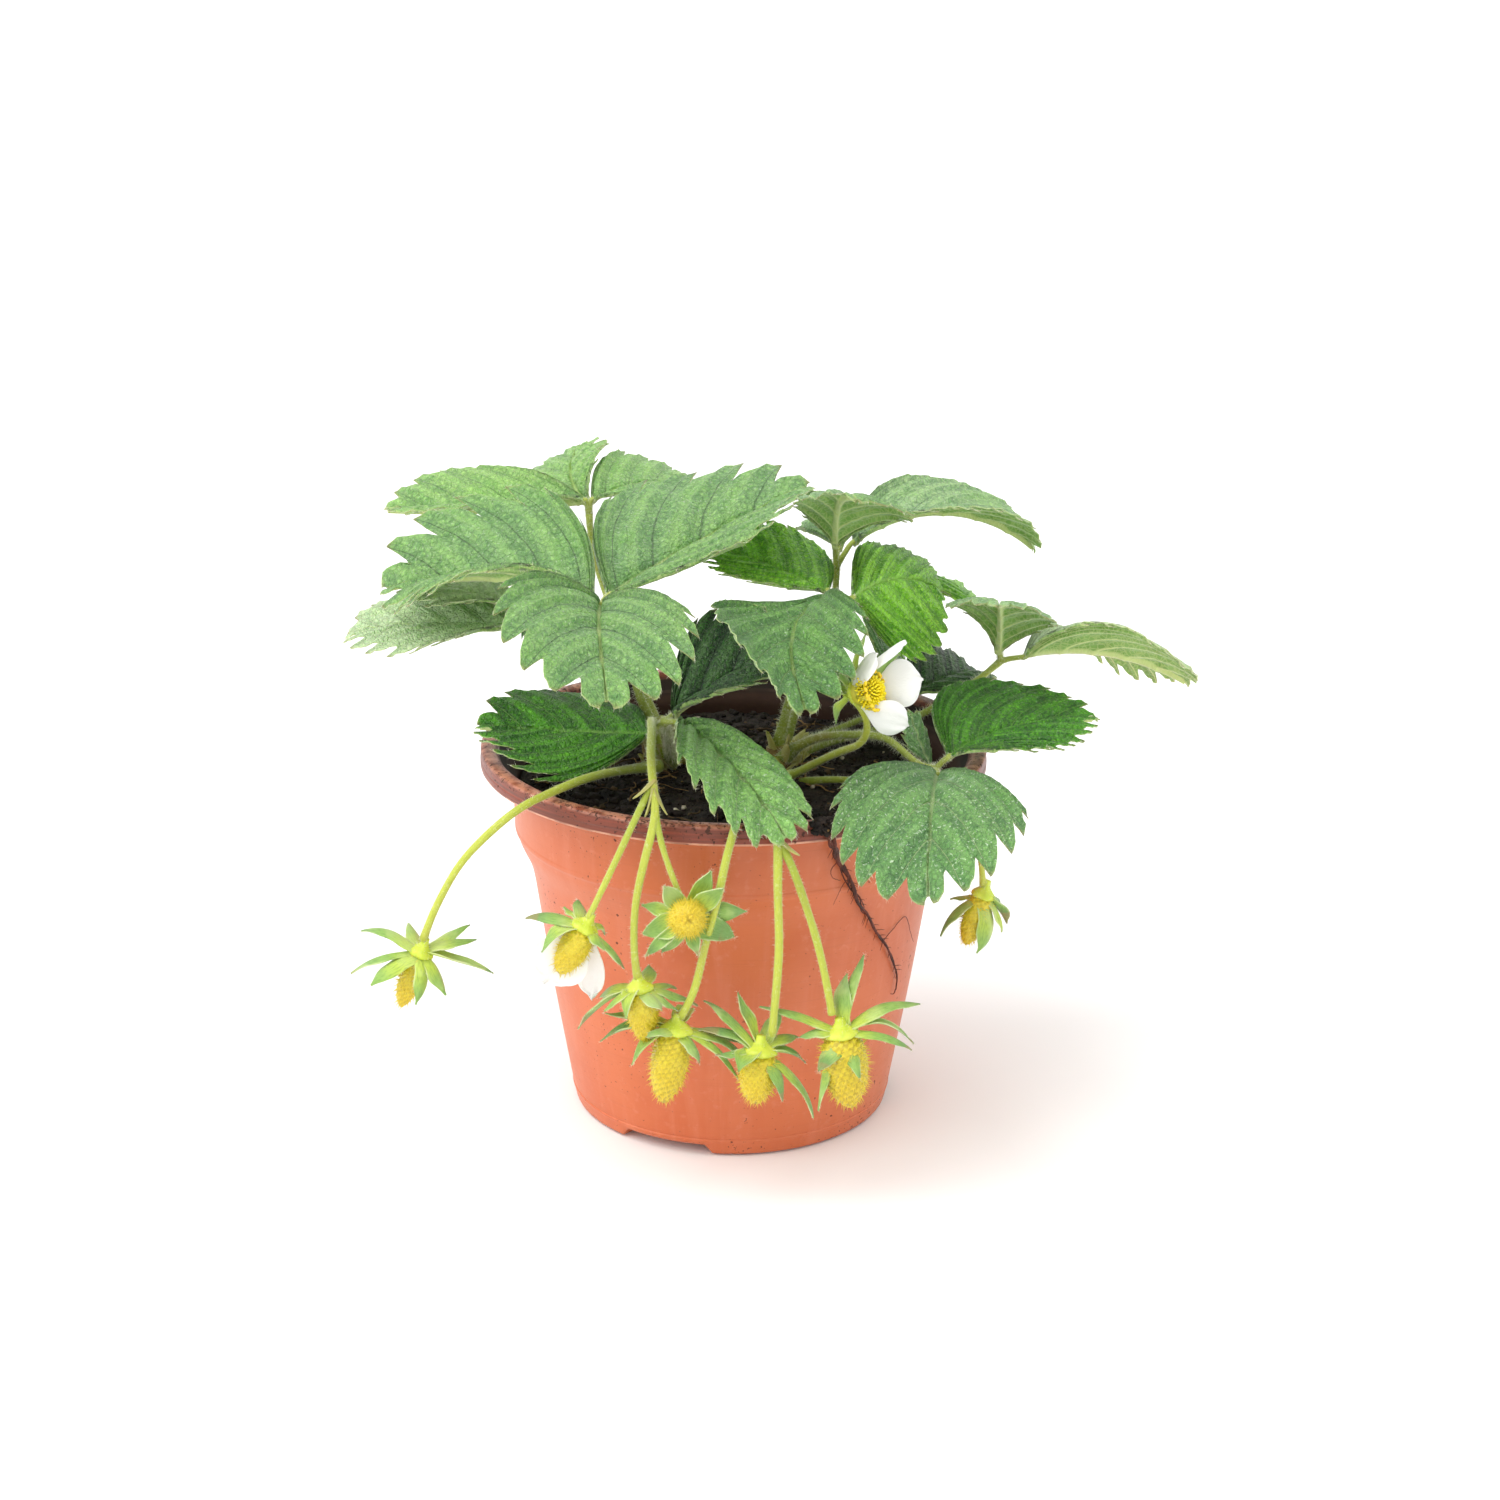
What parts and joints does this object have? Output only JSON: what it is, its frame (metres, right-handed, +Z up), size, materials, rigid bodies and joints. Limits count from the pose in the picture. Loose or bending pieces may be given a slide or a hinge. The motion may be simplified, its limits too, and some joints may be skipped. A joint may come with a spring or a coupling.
{
  "type": "potted strawberry plant",
  "caption": "Strawberry plant with toothed three-part leaves, unripe fruit trusses and a white flower, growing in soil in a round tapered plastic pot.",
  "frame": {"origin": "centre of the pot's base, on the surface that the pot stands on", "axes": "+Z up along the pot's axis; the side with the hanging fruit faces -Y; +X is to the right of someone who looks at that side"},
  "size_m": [0.2058, 0.1633, 0.1548],
  "materials": {
    "pot": "satin",
    "soil": "matte",
    "crown": "matte",
    "root": "matte",
    "stem": "satin",
    "stalk": "satin",
    "leaf_pale": "satin",
    "leaf_mid": "satin",
    "leaf_deep": "satin",
    "berry": "satin",
    "flower_centre": "matte",
    "petal": "matte"
  },
  "bodies": {
    "root": {"pot": "pot", "soil": "soil", "crown": "crown", "hanging_root": "root", "leaf_1_stem": "stem", "leaf_2_stem": "stem", "leaf_3_stem": "stem", "leaf_4_stem": "stem", "leaf_5_stem": "stem", "leaf_6_stem": "stem", "leaf_7_stem": "stem", "leaf_8_stem": "stem", "leaf_9_stem": "stem", "truss_left_stalk": "stalk", "fruit_1_stalk": "stalk", "fruit_5_stalk": "stalk", "truss_middle_stalk": "stalk", "fruit_8_stalk": "stalk", "flower_stalk": "stalk", "fruit_1": "berry", "fruit_2": "berry", "fruit_3": "berry", "fruit_4": "berry", "fruit_5": "berry", "fruit_6": "berry", "fruit_7": "berry", "fruit_8": "berry", "flower_head": "flower_centre", "flower_petal_1": "petal", "flower_petal_2": "petal", "flower_petal_3": "petal", "flower_petal_4": "petal", "fruit_2_petals": "petal", "leaf_1_leaflet_1": "leaf_pale", "leaf_1_leaflet_2": "leaf_pale", "leaf_1_leaflet_3": "leaf_pale", "leaf_2_leaflet_1": "leaf_pale", "leaf_2_leaflet_2": "leaf_pale", "leaf_2_leaflet_3": "leaf_pale", "leaf_3_leaflet_1": "leaf_pale", "leaf_3_leaflet_2": "leaf_pale", "leaf_3_leaflet_3": "leaf_pale", "leaf_4_leaflet_1": "leaf_deep", "leaf_4_leaflet_2": "leaf_deep", "leaf_4_leaflet_3": "leaf_deep", "leaf_5_leaflet_1": "leaf_deep", "leaf_5_leaflet_2": "leaf_deep", "leaf_5_leaflet_3": "leaf_deep", "leaf_6_leaflet_1": "leaf_pale", "leaf_6_leaflet_2": "leaf_pale", "leaf_6_leaflet_3": "leaf_pale", "leaf_7_leaflet_1": "leaf_pale", "leaf_7_leaflet_2": "leaf_pale", "leaf_7_leaflet_3": "leaf_pale", "leaf_8_leaflet_1": "leaf_deep", "leaf_8_leaflet_2": "leaf_deep", "leaf_8_leaflet_3": "leaf_deep", "leaf_9_leaflet_1": "leaf_mid", "leaf_9_leaflet_2": "leaf_mid", "leaf_9_leaflet_3": "leaf_mid"}
  },
  "joints": []
}
